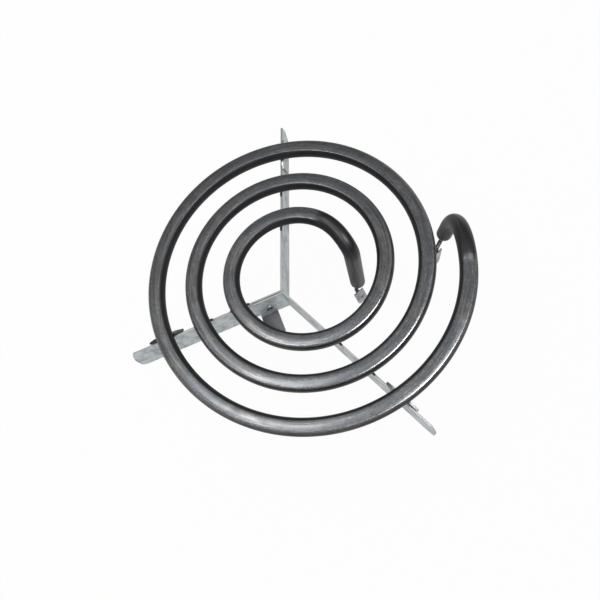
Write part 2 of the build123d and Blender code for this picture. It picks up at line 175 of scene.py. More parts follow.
class Board:
    """The node tree of one material."""

    def __init__(self, name: str) -> None:
        """Makes an empty material."""
        self.material = bpy.data.materials.new(name)
        self.material.use_nodes = True
        self.tree = self.material.node_tree
        self.tree.nodes.clear()

    def add(self, kind: str, settings: Optional[Mapping[str, Any]] = None,
            inputs: Optional[Mapping[Any, Any]] = None) -> bpy.types.Node:
        """Adds a node.

        Args:
            kind: the node's type.
            settings: properties, set before the inputs.
            inputs: socket name or number to a value, a Wire or a socket.

        Returns:
            The node.
        """
        node = self.tree.nodes.new(kind)
        for key, value in (settings or {}).items():
            setattr(node, key, value)
        for key, value in (inputs or {}).items():
            self._feed(input_of(node, key), value)
        return node

    def _feed(self, socket: bpy.types.NodeSocket, value: Any) -> None:
        """Links a wire or a socket to an input, or sets its value."""
        if isinstance(value, Wire):
            value = value.socket
        if isinstance(value, bpy.types.NodeSocket):
            self.tree.links.new(value, socket)
        else:
            socket.default_value = value

    def place(self) -> bpy.types.NodeSocket:
        """The point's place in the part's frame, in metres."""
        return self.add("ShaderNodeTexCoord").outputs["Object"]

    def attribute(self, name: str, output: str = "Fac") -> Wire:
        """A piece's own attribute, as a number or as the output named."""
        node = self.add("ShaderNodeAttribute", {"attribute_name": name})
        return Wire(self, node.outputs[output])

    def split(self, vector: bpy.types.NodeSocket) -> tuple[Wire, Wire, Wire]:
        """A vector's three numbers."""
        node = self.add("ShaderNodeSeparateXYZ", inputs={0: vector})
        return tuple(Wire(self, out) for out in node.outputs)

    def join(self, x: Any, y: Any, z: Any) -> bpy.types.NodeSocket:
        """A vector of three numbers."""
        return self.add("ShaderNodeCombineXYZ", inputs={0: x, 1: y, 2: z}).outputs[0]

    def stretched(self, vector: bpy.types.NodeSocket, scale: Place) -> bpy.types.NodeSocket:
        """A vector scaled along each axis."""
        return self.add("ShaderNodeMapping", {"vector_type": "POINT"},
                        {"Vector": vector, "Scale": scale}).outputs[0]

    def noise(self, vector: bpy.types.NodeSocket, scale: float, detail: float = 3.0,
              roughness: float = 0.55, distortion: float = 0.0) -> Wire:
        """Cloudy noise, about 0.5 in the middle.

        Args:
            vector: where it is read.
            scale: how fine it is, per metre of the vector.
            detail: how many finer layers are added.
            roughness: how strong the finer layers are.
            distortion: how far the pattern is pulled about.

        Returns:
            The noise, 0 to 1.
        """
        node = self.add("ShaderNodeTexNoise", {"noise_dimensions": "3D"},
                        {"Vector": vector, "Scale": scale, "Detail": detail,
                         "Roughness": roughness, "Distortion": distortion})
        return Wire(self, node.outputs[0])

    def cells(self, vector: bpy.types.NodeSocket, scale: float) -> Wire:
        """The distance to the nearest of many scattered points."""
        node = self.add("ShaderNodeTexVoronoi", {"feature": "F1"}, {"Vector": vector, "Scale": scale})
        return Wire(self, node.outputs["Distance"])

    def mix(self, amount: Any, first: Any, second: Any) -> bpy.types.NodeSocket:
        """A blend of two colours.

        Args:
            amount: 0 for the first colour, 1 for the second.
            first: a colour or a socket.
            second: a colour or a socket.

        Returns:
            The blended colour.
        """
        node = self.add("ShaderNodeMix", {"data_type": "RGBA", "clamp_factor": True},
                        {"Factor": amount, "A": _rgba(first), "B": _rgba(second)})
        return next(out for out in node.outputs if out.type == "RGBA" and out.enabled)

    def bump(self, height: Any, distance: float, strength: float = 1.0,
             normal: Optional[bpy.types.NodeSocket] = None) -> bpy.types.NodeSocket:
        """A normal bent by a height.

        Args:
            height: 0 to 1.
            distance: metres of relief at height 1.
            strength: how much of the relief is used.
            normal: the normal that it starts from.

        Returns:
            The bent normal.
        """
        inputs = {"Strength": strength, "Distance": distance, "Height": height}
        if normal is not None:
            inputs["Normal"] = normal
        return self.add("ShaderNodeBump", inputs=inputs).outputs[0]

    def surface(self, **inputs: Any) -> bpy.types.Material:
        """Ends the tree in a Principled shader.

        Args:
            inputs: the shader's inputs, with _ for a space in their names.

        Returns:
            The finished material.
        """
        named = {key.replace("_", " "): _rgba(value) if key == "Base_Color" else value
                 for key, value in inputs.items()}
        shader = self.add("ShaderNodeBsdfPrincipled", inputs=named)
        out = self.add("ShaderNodeOutputMaterial")
        self.tree.links.new(shader.outputs[0], out.inputs["Surface"])
        return self.material


def _rgba(value: Any) -> Any:
    """Adds alpha to a plain colour, and leaves anything else alone."""
    if isinstance(value, tuple) and len(value) == 3:
        return (*value, 1.0)
    return value


# -------------------------------------------------------------------- finishes


class Finish(Protocol):
    """A finish that can make its material."""

    def material(self, name: str) -> bpy.types.Material:
        """Makes the material."""


@dataclass(frozen=True)
class OxidisedTube:
    """Sheath of a used element: dark oxidised surface, worn to dull metal where it is pressed flat; beside
    the flat, a painted highlight on the outer corners and painted shade on the inner ones.
    """

    oxide_and_shade: Colour = (0.034, 0.034, 0.037)
    brown_scale: Colour = (0.072, 0.070, 0.060)
    cold_end: Colour = (0.036, 0.035, 0.039)
    cold_pale: Colour = (0.075, 0.074, 0.076)
    flat_dark: Colour = (0.070, 0.071, 0.075)
    flat_pale: Colour = (0.136, 0.138, 0.141)
    green_film: Colour = (0.110, 0.118, 0.098)
    blue_film: Colour = (0.088, 0.096, 0.106)
    rubbed_and_highlight: Colour = (0.340, 0.340, 0.350)
    flat_height: float = PRESSED_HEIGHT
    coil_centre: tuple[float, float] = COIL_CENTRE

    def material(self, name: str) -> bpy.types.Material:
        """Makes the material.

        Args:
            name: the material's name.

        Returns:
            The material, which reads the tube's own along, section and pressed attributes.
        """
        board = Board(name)
        place = board.place()
        _, _, height = board.split(place)
        along = board.attribute("along")
        pressed = board.attribute("pressed")
        section_x, section_y, _ = board.split(board.attribute("section", "Vector").socket)
        drawn = board.join(along * 45.0, section_x * 1300.0, section_y * 1300.0)
        streaks = board.noise(drawn, 1.0, 4.0, 0.6)
        fine_drawn = board.join(along * 240.0, section_x * 4200.0, section_y * 4200.0)
        scratches = board.noise(fine_drawn, 1.0, 3.0, 0.6)
        clouds = board.noise(place, 60.0, 4.0, 0.6)
        patches = board.noise(place, 210.0, 3.0, 0.6, 0.4)
        grains = board.noise(place, 1100.0, 3.0, 0.7)
        on_top = height.step(self.flat_height - 0.75 * MM, self.flat_height - 0.22 * MM) * pressed
        corner = (height.step(self.flat_height - 1.0 * MM, self.flat_height - 0.45 * MM)
                  * (1 - height.step(self.flat_height - 0.3 * MM, self.flat_height - 0.1 * MM)) * pressed)
        x, y, _ = board.split(place)
        from_x, from_y = x - self.coil_centre[0], y - self.coil_centre[1]
        facing_x, facing_y, _ = board.split(board.add("ShaderNodeNewGeometry").outputs["Normal"])
        reach = (from_x * from_x + from_y * from_y) ** 0.5
        outward = (facing_x * from_x + facing_y * from_y) / reach
        outer = outward.step(-0.10, 0.12)
        sides = board.mix(clouds.step(0.40, 0.66) * (0.25 + 0.75 * outer), self.oxide_and_shade, self.brown_scale)
        cold = board.mix(streaks.step(0.42, 0.68), self.cold_end, self.cold_pale)
        sides = board.mix(1 - pressed, sides, cold)
        flat = board.mix((streaks * 0.7 + patches * 0.3).step(0.36, 0.64), self.flat_dark, self.flat_pale)
        flat = board.mix(patches.step(0.52, 0.70) * 0.55, flat, self.green_film)
        blue = board.noise(place, 26.0, 2.0).step(0.48, 0.64) * 0.6
        flat = board.mix(blue, flat, self.blue_film)
        rub = scratches.step(0.55, 0.72) * 0.45 + grains.step(0.54, 0.68) * 0.38
        flat = board.mix(rub.clamped() * streaks.step(0.42, 0.62), flat, self.rubbed_and_highlight)
        colour = board.mix(on_top, sides, flat)
        # Partly wear, partly painted highlight: the outer corners beside the flat get a pale worn line
        # that also stands in for the lamps' highlight along them.
        colour = board.mix(corner * outer * scratches.step(0.25, 0.55) * 0.80, colour, self.rubbed_and_highlight)
        # Painted shade: the inner corners beside the flat are painted dark, so that no highlight shows on
        # them.
        colour = board.mix(corner * (1 - outer) * 0.80, colour, self.oxide_and_shade)
        colour = board.mix(grains.step(0.44, 0.31) * 0.5, colour, self.oxide_and_shade)
        roughness = (0.44 - 0.10 * on_top - 0.17 * corner * outer + 0.16 * (1 - outer) * (1 - on_top)
                     + 0.18 * (clouds - 0.5)
                     + 0.22 * (grains - 0.5) + 0.14 * (scratches - 0.5)).clamped()
        relief = board.bump(streaks * 0.6 + scratches * 0.4, 0.06 * MM, 0.40)
        relief = board.bump(grains, 0.06 * MM, 0.45, relief)
        relief = board.bump(patches, 0.25 * MM, 0.22, relief)
        return board.surface(Base_Color=colour, Metallic=0.85, Roughness=roughness, Normal=relief)


def turned(board: Board, azimuth: float) -> tuple[Wire, Wire]:
    """How far a point is along an azimuth, and aside of it, seen from above.

    Args:
        board: the material that asks.
        azimuth: the direction's azimuth in degrees.

    Returns:
        The distance along the azimuth and the one square to it, in metres.
    """
    x, y, _ = board.split(board.place())
    east, north = math.cos(math.radians(azimuth)), math.sin(math.radians(azimuth))
    return x * east + y * north, y * east - x * north


@dataclass(frozen=True)
class ZincPlate:
    """Zinc plated strip: pale, dull and mottled, with near-black nibs, greyer top edges that are partly
    painted shade, and a lug painted dark as painted shade.
    """

    pale: Colour = (0.60, 0.64, 0.65)
    dull: Colour = (0.36, 0.39, 0.42)
    grey_spot: Colour = (0.22, 0.24, 0.24)
    near_black: Colour = (0.030, 0.029, 0.028)
    lug_shade: Colour = (0.120, 0.121, 0.134)
    sheared_and_shade: Colour = (0.34, 0.35, 0.35)
    seam: Colour = (0.030, 0.030, 0.030)
    top_height: float = STRIP_TOP
    lug_azimuth: float = ARM_2_AZIMUTH
    flange_face: float = 1.52 * MM

    def material(self, name: str) -> bpy.types.Material:
        """Makes the material.

        Args:
            name: the material's name.

        Returns:
            The material.
        """
        board = Board(name)
        place = board.place()
        _, _, height = board.split(place)
        spangle = board.cells(place, 420.0)
        clouds = board.noise(place, 120.0, 5.0, 0.62)
        spots = board.noise(place, 520.0, 3.0, 0.65)
        grain = board.noise(board.stretched(place, (250.0, 250.0, 1400.0)), 1.0, 3.0)
        colour = board.mix((clouds * 0.8 + spangle * 0.3).step(0.42, 0.75), self.pale, self.dull)
        colour = board.mix(spots.step(0.60, 0.74) * 0.55, colour, self.grey_spot)
        # Painted shade: the lug is painted dark, standing in for the dark that its top reflects from
        # above.
        along, aside = turned(board, self.lug_azimuth)
        lug_shade_mask = along.step(3.0 * MM, 3.4 * MM) * aside.step(self.flange_face, self.flange_face + 0.3 * MM)
        colour = board.mix(lug_shade_mask, colour, self.lug_shade)
        # The top edges are painted a darker grey, partly for their bare sheared metal and partly as
        # painted shade that tones down the lamps' highlight on them.
        top_edge = height.step(self.top_height - 0.12 * MM, self.top_height - 0.03 * MM)
        colour = board.mix(top_edge, colour, self.sheared_and_shade)
        beside_seam = (aside - 0.51 * MM).size()
        in_seam = beside_seam.step(0.30 * MM, 0.10 * MM) * along.step(0.0, 0.6 * MM)
        in_seam = in_seam * along.step(15.4 * MM, 14.8 * MM)
        colour = board.mix(in_seam * top_edge, colour, self.seam)
        # The nibs under the tube are painted near black.
        nib = height.step(self.top_height + 0.05 * MM, self.top_height + 0.3 * MM)
        colour = board.mix(nib * 0.95, colour, self.near_black)
        roughness = (0.54 + 0.25 * (clouds - 0.5) + 0.1 * nib).clamped()
        relief = board.bump(clouds * 0.5 + grain * 0.5, 0.08 * MM, 0.35)
        return board.surface(Base_Color=colour, Metallic=0.55, Roughness=roughness, Normal=relief)


@dataclass(frozen=True)
class RolledRivet:
    """Tubular rivet: a plated rolled rim round a bore painted near black as painted shade."""

    rim: Colour = (0.17, 0.18, 0.18)
    smudge: Colour = (0.12, 0.12, 0.12)
    bore_shade: Colour = (0.012, 0.012, 0.012)
    azimuth: float = ARM_2_AZIMUTH
    along: float = 9.0 * MM
    up: float = 7.4 * MM
    bore_radius: float = 1.2 * MM

    def material(self, name: str) -> bpy.types.Material:
        """Makes the material.

        Args:
            name: the material's name.

        Returns:
            The material.
        """
        board = Board(name)
        place = board.place()
        _, _, height = board.split(place)
        along, aside = turned(board, self.azimuth)
        # Painted shade: the bore is painted near black, for the shade inside the hole.
        distance = ((along - self.along) ** 2 + (height - self.up) ** 2) ** 0.5
        bore_shade_mask = distance.step(self.bore_radius + 0.12 * MM, self.bore_radius - 0.05 * MM)
        bore_shade_mask = bore_shade_mask * aside.step(0.0, 0.3 * MM)
        clouds = board.noise(place, 500.0, 4.0, 0.6)
        colour = board.mix(clouds.step(0.42, 0.68) * 0.6, self.rim, self.smudge)
        colour = board.mix(bore_shade_mask, colour, self.bore_shade)
        roughness = (0.55 + 0.2 * (clouds - 0.5) + 0.25 * bore_shade_mask).clamped()
        relief = board.bump(clouds, 0.05 * MM, 0.3)
        return board.surface(Base_Color=colour, Metallic=0.9, Roughness=roughness, Normal=relief)


@dataclass(frozen=True)
class PlainSteel:
    """Sheet or wire of bare or plated steel with fine grain."""

    colour: Colour = (0.36, 0.37, 0.37)
    stain: Colour = (0.22, 0.22, 0.22)
    roughness: float = 0.38
    metallic: float = 0.95
    grain: float = 900.0

    def material(self, name: str) -> bpy.types.Material:
        """Makes the material.

        Args:
            name: the material's name.

        Returns:
            The material.
        """
        board = Board(name)
        place = board.place()
        clouds = board.noise(place, 300.0, 4.0, 0.6)
        grain = board.noise(place, self.grain, 3.0, 0.6)
        colour = board.mix(clouds.step(0.45, 0.7), self.colour, self.stain)
        roughness = (self.roughness + 0.22 * (clouds - 0.5)).clamped()
        relief = board.bump(grain, 0.04 * MM, 0.35)
        return board.surface(Base_Color=colour, Metallic=self.metallic, Roughness=roughness,
                             Normal=relief)


@dataclass(frozen=True)
class Baked:
    """Ceramic, resin or packed powder: not metal, faintly mottled."""

    colour: Colour = (0.78, 0.76, 0.70)
    stain: Colour = (0.60, 0.57, 0.50)
    roughness: float = 0.75

    def material(self, name: str) -> bpy.types.Material:
        """Makes the material.

        Args:
            name: the material's name.

        Returns:
            The material.
        """
        board = Board(name)
        place = board.place()
        clouds = board.noise(place, 500.0, 4.0, 0.6)
        grain = board.noise(place, 3000.0, 2.0, 0.6)
        colour = board.mix(clouds.step(0.4, 0.75), self.colour, self.stain)
        roughness = (self.roughness + 0.2 * (clouds - 0.5)).clamped()
        relief = board.bump(grain, 0.05 * MM, 0.4)
        return board.surface(Base_Color=colour, Metallic=0.0, Roughness=roughness, Normal=relief)


# ------------------------------------------------------------ geometry helpers


class Tree:
    """A Geometry Nodes tree with named inputs, for one object."""

    def __init__(self, name: str) -> None:
        """Makes a tree that takes and gives geometry."""
        self.group = bpy.data.node_groups.new(name, "GeometryNodeTree")
        self.group.interface.new_socket("Geometry", in_out="INPUT", socket_type="NodeSocketGeometry")
        self.group.interface.new_socket("Geometry", in_out="OUTPUT", socket_type="NodeSocketGeometry")
        self.entry = self.group.nodes.new("NodeGroupInput")
        self.exit = self.group.nodes.new("NodeGroupOutput")

    def size(self, name: str, value: Number, whole: bool = False) -> bpy.types.NodeSocket:
        """Adds a named input.

        Args:
            name: the input's name.
            value: its value when nothing else is set.
            whole: whether it is a whole number.

        Returns:
            The socket that gives it inside the tree.
        """
        kind = "NodeSocketInt" if whole else "NodeSocketFloat"
        item = self.group.interface.new_socket(name, in_out="INPUT", socket_type=kind)
        item.default_value = value
        return self.entry.outputs[name]

    def add(self, kind: str, settings: Optional[Mapping[str, Any]] = None,
            inputs: Optional[Mapping[Any, Any]] = None) -> bpy.types.Node:
        """Adds a node.

        Args:
            kind: the node's type.
            settings: properties, set before the inputs.
            inputs: socket name or number to a value or a socket.

        Returns:
            The node.
        """
        node = self.group.nodes.new(kind)
        for key, value in (settings or {}).items():
            setattr(node, key, value)
        for key, value in (inputs or {}).items():
            socket = input_of(node, key)
            if isinstance(value, bpy.types.NodeSocket):
                self.group.links.new(value, socket)
            else:
                socket.default_value = value
        return node

    def math(self, operation: str, *operands: Any) -> bpy.types.NodeSocket:
        """One Math node's result."""
        return self.add("ShaderNodeMath", {"operation": operation},
                        dict(enumerate(operands))).outputs[0]

    def attribute(self, name: str) -> bpy.types.NodeSocket:
        """A number stored on the geometry."""
        return self.add("GeometryNodeInputNamedAttribute", {"data_type": "FLOAT"},
                        {"Name": name}).outputs["Attribute"]

    def end(self, geometry: bpy.types.NodeSocket, material: bpy.types.Material) -> None:
        """Realizes instances, sets the material and ends the tree.

        Args:
            geometry: what the tree gives.
            material: what it is dressed in.
        """
        real = self.add("GeometryNodeRealizeInstances", inputs={0: geometry})
        dressed = self.add("GeometryNodeSetMaterial", inputs={0: real.outputs[0], "Material": material})
        self.group.links.new(dressed.outputs[0], self.exit.inputs[0])

    def grow(self, base: bpy.types.Object, name: str,
             values: Optional[Mapping[str, Number]] = None) -> bpy.types.Object:
        """Runs the tree on an object.

        Args:
            base: the object whose geometry goes in; it is removed.
            name: the new piece's name.
            values: input name to value.

        Returns:
            A plain mesh object at the origin.
        """
        modifier = base.modifiers.new(self.group.name, "NODES")
        modifier.node_group = self.group
        for item in self.group.interface.items_tree:
            if item.in_out == "INPUT" and item.name in (values or {}):
                modifier[item.identifier] = values[item.name]
        bpy.context.view_layer.update()
        graph = bpy.context.evaluated_depsgraph_get()
        mesh = bpy.data.meshes.new_from_object(base.evaluated_get(graph),
                                               preserve_all_data_layers=True, depsgraph=graph)
        base.modifiers.remove(modifier)
        bpy.data.objects.remove(base)
        mesh.name = name
        piece = bpy.data.objects.new(name, mesh)
        bpy.context.scene.collection.objects.link(piece)
        return piece


def shade_smooth(mesh: bpy.types.Mesh, angle: float) -> None:
    """Smooth faces, with edges sharper than an angle kept sharp."""
    mesh.shade_smooth()
    mesh.set_sharp_from_angle(angle=math.radians(angle))


# ---------------------------------------------------------------- heating tube


@dataclass(frozen=True)
class PathArc:
    """A stretch of the tube's middle line that turns about an axis."""

    centre: Vector
    axis: Vector
    start: Vector
    angle: float

    def point(self, angle: float) -> Vector:
        """The place at an angle from the arc's start."""
        turn = Matrix.Rotation(math.radians(angle), 3, self.axis)
        return self.centre + turn @ (self.start - self.centre)

    def travel(self, angle: float) -> Vector:
        """The direction of travel at an angle from the arc's start."""
        return self.axis.cross(self.point(angle) - self.centre).normalized()

    def length(self) -> float:
        """The arc's length."""
        return math.radians(self.angle) * (self.start - self.centre).length


def heading(azimuth: float) -> Vector:
    """Unit vector in the horizontal plane."""
    return Vector((math.cos(math.radians(azimuth)), math.sin(math.radians(azimuth)), 0.0))


UP = Vector((0.0, 0.0, 1.0))
ARCS_PER_TURN = 3
ARC_ANGLE = 360.0 / ARCS_PER_TURN
CENTRE_LEAD = 150.0  # from an arc's first azimuth to its centre's azimuth on their ring


@dataclass
class HeatingTube:
    """The long sheathed tube: flat spiral, pressed top and two bent cold ends."""

    finish: Finish
    node: str = "heating_tube_sheath"
    radius: float = TUBE_RADIUS
    corner: float = 0.35 * MM
    crown: float = 0.55 * MM
    axis_height: float = TUBE_AXIS_HEIGHT
    pitch: float = 18.5 * MM
    centre: tuple[float, float] = COIL_CENTRE
    first_azimuth: float = 92.0
    first_radius: float = 30.15 * MM
    full_arcs: int = 8
    inner_radius: float = 25.7 * MM
    inner_angle: float = 57.0
    round_start: float = 10.3 * MM
    tail_radius: float = 69.4 * MM
    tail_angle: float = 29.0
    inner_bend: tuple[float, float] = (9.5 * MM, 90.0)
    inner_leg: float = 36.5 * MM
    outer_bend: tuple[float, float] = (27.0 * MM, 87.0)
    outer_lean: float = 8.0
    outer_leg: float = 9.5 * MM
    run_out: float = 3.8 * MM
    spacing: float = 1.4 * MM
    around: int = 64
    rim: float = 0.45 * MM
    rim_points: int = 3
    smooth_angle: float = 50.0

    def spiral(self) -> list[PathArc]:
        """The flat coil's arcs, from the inner end outwards.

        Returns:
            A short inner arc, eight arcs of a third of a turn whose radii grow
            by a third of the pitch, and a tail arc, each in line with the next.
        """
        middle = Vector((*self.centre, self.axis_height))
        step = self.pitch / ARCS_PER_TURN
        ring = step / math.sqrt(ARCS_PER_TURN)
        arcs = []
        for index in range(self.full_arcs):
            azimuth = self.first_azimuth + ARC_ANGLE * index
            centre = middle + heading(azimuth + CENTRE_LEAD) * ring
            start = centre + heading(azimuth) * (self.first_radius + step * index)
            arcs.append(PathArc(centre, UP, start, ARC_ANGLE))
        first, last = arcs[0], arcs[-1]
        centre = first.start - heading(self.first_azimuth) * self.inner_radius
        start = centre + heading(self.first_azimuth - self.inner_angle) * self.inner_radius
        inner = PathArc(centre, UP, start, self.inner_angle)
        start = last.point(ARC_ANGLE)
        centre = start + (last.centre - start).normalized() * self.tail_radius
        return [inner, *arcs, PathArc(centre, UP, start, self.tail_angle)]

    @staticmethod
    def bend(start: Vector, travel: Vector, towards: Vector, size: tuple[float, float]) -> PathArc:
        """An arc that leaves a point along one direction and turns towards another.

        Args:
            start: the point.
            travel: the direction that it leaves along.
            towards: the direction that it turns to, square to travel.
            size: its radius and its angle in degrees.

        Returns:
            The arc.
        """
        radius, angle = size
        return PathArc(start + towards * radius, travel.cross(towards), start, angle)

    def middle_line(self) -> list[tuple[Vector, float]]:
        """The tube's middle line from the inner mouth to the outer one.

        Returns:
            Points and how far the tube is pressed there, 0 to 1.
        """
        coil = self.spiral()
        inner, tail = coil[0], coil[-1]
        inner_bend = self.bend(inner.start, inner.travel(0) * -1, UP * -1, self.inner_bend)
        end = tail.point(tail.angle)
        lean = math.radians(self.outer_lean)
        inwards = (tail.centre - end).normalized()
        towards = inwards * math.sin(lean) - UP * math.cos(lean)
        outer_bend = self.bend(end, tail.travel(tail.angle), towards, self.outer_bend)
        inner_end = self._leg(inner_bend, self.inner_leg)[::-1]
        inner_end += [inner_bend.point(inner_bend.angle * (1 - share))
                      for share in self._shares(inner_bend.length())]
        flat = [arc.point(arc.angle * share) for arc in coil for share in self._shares(arc.length())]
        outer_end = [outer_bend.point(outer_bend.angle * share)
                     for share in self._shares(outer_bend.length())]
        outer_end += self._leg(outer_bend, self.outer_leg, with_start=True)
        begin = self.round_start / self.spacing
        fade = self.run_out / self.spacing
        pressed = [min(max(0.0, (index - begin) / fade), 1.0, (len(flat) - index) / fade)
                   for index in range(len(flat))]
        return [*((point, 0.0) for point in inner_end), *zip(flat, pressed),
                *((point, 0.0) for point in outer_end)]

    def _shares(self, length: float) -> list[float]:
        """How far along a stretch its points lie, from 0 to just short of 1."""
        steps = math.ceil(length / self.spacing)
        return [index / steps for index in range(steps)]

    def _leg(self, bend: PathArc, length: float, with_start: bool = False) -> list[Vector]:
        """The points of the straight leg after a bend.

        Args:
            bend: the bend that it leaves.
            length: the leg's length.
            with_start: whether the bend's end is one of the points.

        Returns:
            The points, from the bend to the mouth.
        """
        foot, way = bend.point(bend.angle), bend.travel(bend.angle)
        shares = [1 - share for share in reversed(self._shares(length))]
        if with_start:
            shares.insert(0, 0.0)
        return [foot + way * length * share for share in shares]

    def path_object(self) -> bpy.types.Object:
        """The middle line as edges, with its pressed, along and swell attributes."""
        line = self.middle_line()
        points = [point for point, _ in line]
        travelled = [0.0]
        for before, after in zip(points, points[1:]):
            travelled.append(travelled[-1] + (after - before).length)
        whole = travelled[-1]
        rows = [(point, press, along) for (point, press), along in zip(line, travelled)]
        first_way = (points[1] - points[0]).normalized()
        last_way = (points[-2] - points[-1]).normalized()
        for index in range(self.rim_points):
            inward = self.rim * (index + 1) / (self.rim_points + 1)
            rows.append((points[0] + first_way * inward, 0.0, inward))
            rows.append((points[-1] + last_way * inward, 0.0, whole - inward))
        rows.sort(key=lambda row: row[2])
        mesh = bpy.data.meshes.new("tube_line")
        mesh.from_pydata([row[0] for row in rows], [(i, i + 1) for i in range(len(rows) - 1)], [])
        for name, values in (
            ("pressed", [row[1] for row in rows]),
            ("along", [row[2] for row in rows]),
            ("swell", [self.rim_swell(min(row[2], whole - row[2])) for row in rows]),
        ):
            mesh.attributes.new(name, "FLOAT", "POINT").data.foreach_set("value", values)
        item = bpy.data.objects.new("tube_line", mesh)
        bpy.context.scene.collection.objects.link(item)
        return item

    def rim_swell(self, distance: float) -> float:
        """The tube's size near a mouth, where its rim is rounded over.

        Args:
            distance: how far it is from the mouth.

        Returns:
            The section's size there, as a share of its full size.
        """
        if distance >= self.rim:
            return 1.0
        inward = self.rim - distance
        drop = self.rim - math.sqrt(max(self.rim**2 - inward**2, 0.0))
        return 1.0 - drop / self.radius

    def tree(self, material: bpy.types.Material) -> Tree:
        """Sweeps a round section along a line and presses its top flat.

        Args:
            material: the tube's material.

        Returns:
            The tree, with the tube's sizes as inputs.
        """
        tree = Tree("press_and_sweep_tube")
        radius = tree.size("Tube Radius", self.radius)
        flat = tree.size("Flat Height", PRESSED_HEIGHT)
        corner = tree.size("Corner Softness", self.corner)
        count = tree.size("Points Around", self.around, whole=True)
        line = tree.add("GeometryNodeMeshToCurve", inputs={0: tree.entry.outputs[0]})
        swell = tree.attribute("swell")
        sized = tree.add("GeometryNodeSetCurveRadius", inputs={0: line.outputs[0], "Radius": swell})
        upright = tree.add("GeometryNodeSetCurveNormal", {"mode": "MINIMUM_TWIST"},
                           {0: sized.outputs[0]})
        ring = tree.add("GeometryNodeCurvePrimitiveCircle", inputs={"Resolution": count, "Radius": radius})
        place = tree.add("GeometryNodeInputPosition").outputs[0]
        marked = tree.add("GeometryNodeStoreNamedAttribute",
                          {"data_type": "FLOAT_VECTOR", "domain": "POINT"},
                          {0: ring.outputs[0], "Name": "section", "Value": place})
        swept = tree.add("GeometryNodeCurveToMesh", inputs={
            "Curve": upright.outputs[0], "Profile Curve": marked.outputs[0], "Fill Caps": True})
        if "Scale" in [socket.name for socket in swept.inputs if socket.enabled]:
            tree.group.links.new(swell, swept.inputs["Scale"])
        x, y, z = tree.add("ShaderNodeSeparateXYZ", inputs={0: place}).outputs
        level = tree.size("Axis Height", self.axis_height)
        crown = tree.size("Crown", self.crown)
        rise = tree.math("DIVIDE", tree.math("SUBTRACT", z, level), radius)
        aside = tree.math("SUBTRACT", 1.0, tree.math("MULTIPLY", rise, rise))
        domed = tree.math("SUBTRACT", flat, tree.math("MULTIPLY", aside, crown))
        lowered = tree.math("SMOOTH_MIN", z, domed, corner)
        pressed = tree.attribute("pressed")
        change = tree.math("MULTIPLY", tree.math("SUBTRACT", lowered, z), pressed)
        offset = tree.add("ShaderNodeCombineXYZ", inputs={2: change}).outputs[0]
        moved = tree.add("GeometryNodeSetPosition", inputs={0: swept.outputs[0], "Offset": offset})
        tree.end(moved.outputs[0], material)
        return tree

    def build(self) -> bpy.types.Object:
        """Makes the tube and puts it in place of its plain solid."""
        material = self.finish.material("oxidised_tube")
        piece = self.tree(material).grow(self.path_object(), "heating_tube", {"Tube Radius": self.radius})
        outward = bmesh.new()
        outward.from_mesh(piece.data)
        bmesh.ops.recalc_face_normals(outward, faces=outward.faces)
        outward.to_mesh(piece.data)
        outward.free()
        shade_smooth(piece.data, self.smooth_angle)
        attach(piece, "root")
        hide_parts(self.node)
        return piece


# ------------------------------------------------- pieces with eased edges


@dataclass
class EasedPiece:
    """A sheet or wire piece with its solid's shape and eased edges."""

    node: str
    name: str
    slot: str
    material: bpy.types.Material
    ease: float = 0.12 * MM
    segments: int = 2
    squat_above: Optional[float] = None
    squat: float = 0.45
    dimpled: bool = False
    plug_radius: float = 0.87 * MM
    plug_thickness: float = 0.34 * MM
    plug_segments: int = 24
    facet_area: float = 0.5 * MM * MM
    weld_distance: float = 0.002 * MM
    flat_angle: float = 1.0
    smooth_angle: float = 30.0
    bevel_angle: float = 35.0

    def _lower(self, work: bmesh.types.BMesh) -> None:
        """Brings down what stands above a height, by the share that squat says."""
        for vertex in work.verts:
            above = vertex.co.z - self.squat_above
            if above > 0:
                vertex.co.z = self.squat_above + above * self.squat

    def _close_hole(self, work: bmesh.types.BMesh) -> None:
        """Sets a thin plug in a blade's hole, which leaves a dimple on both faces."""
        normal = max(work.faces, key=lambda face: face.calc_area()).normal.copy()
        wall = {vertex for face in work.faces
                if face.calc_area() < self.facet_area and abs(face.normal.dot(normal)) < 0.1
                for vertex in face.verts}
        centre = sum((vertex.co for vertex in wall), Vector()) / len(wall)
        turn = normal.to_track_quat("Z", "Y").to_matrix().to_4x4()
        bmesh.ops.create_cone(work, cap_ends=True, segments=self.plug_segments,
                              radius1=self.plug_radius, radius2=self.plug_radius,
                              depth=self.plug_thickness, matrix=Matrix.Translation(centre) @ turn)

    def build(self) -> bpy.types.Object:
        """Copies the solid's mesh, joins its triangles, and eases its edges."""
        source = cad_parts[self.node]
        work = bmesh.new()
        work.from_mesh(source.data)
        bmesh.ops.remove_doubles(work, verts=work.verts, dist=self.weld_distance)
        bmesh.ops.dissolve_limit(work, angle_limit=math.radians(self.flat_angle), verts=work.verts,
                                 edges=work.edges)
        if self.squat_above is not None:
            self._lower(work)
        if self.dimpled:
            self._close_hole(work)
        mesh = bpy.data.meshes.new(self.name)
        work.to_mesh(mesh)
        work.free()
        mesh.materials.clear()
        mesh.materials.append(self.material)
        for polygon in mesh.polygons:
            polygon.material_index = 0
        piece = bpy.data.objects.new(self.name, mesh)
        bpy.context.scene.collection.objects.link(piece)
        shade_smooth(mesh, self.smooth_angle)
        edge = piece.modifiers.new("eased_edges", "BEVEL")
        edge.width = self.ease
        edge.segments = self.segments
        edge.limit_method = "ANGLE"
        edge.angle_limit = math.radians(self.bevel_angle)
        edge.harden_normals = True
        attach(piece, "root")
        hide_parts(self.node)
        return piece


# ----------------------------------------------------------------------- studio


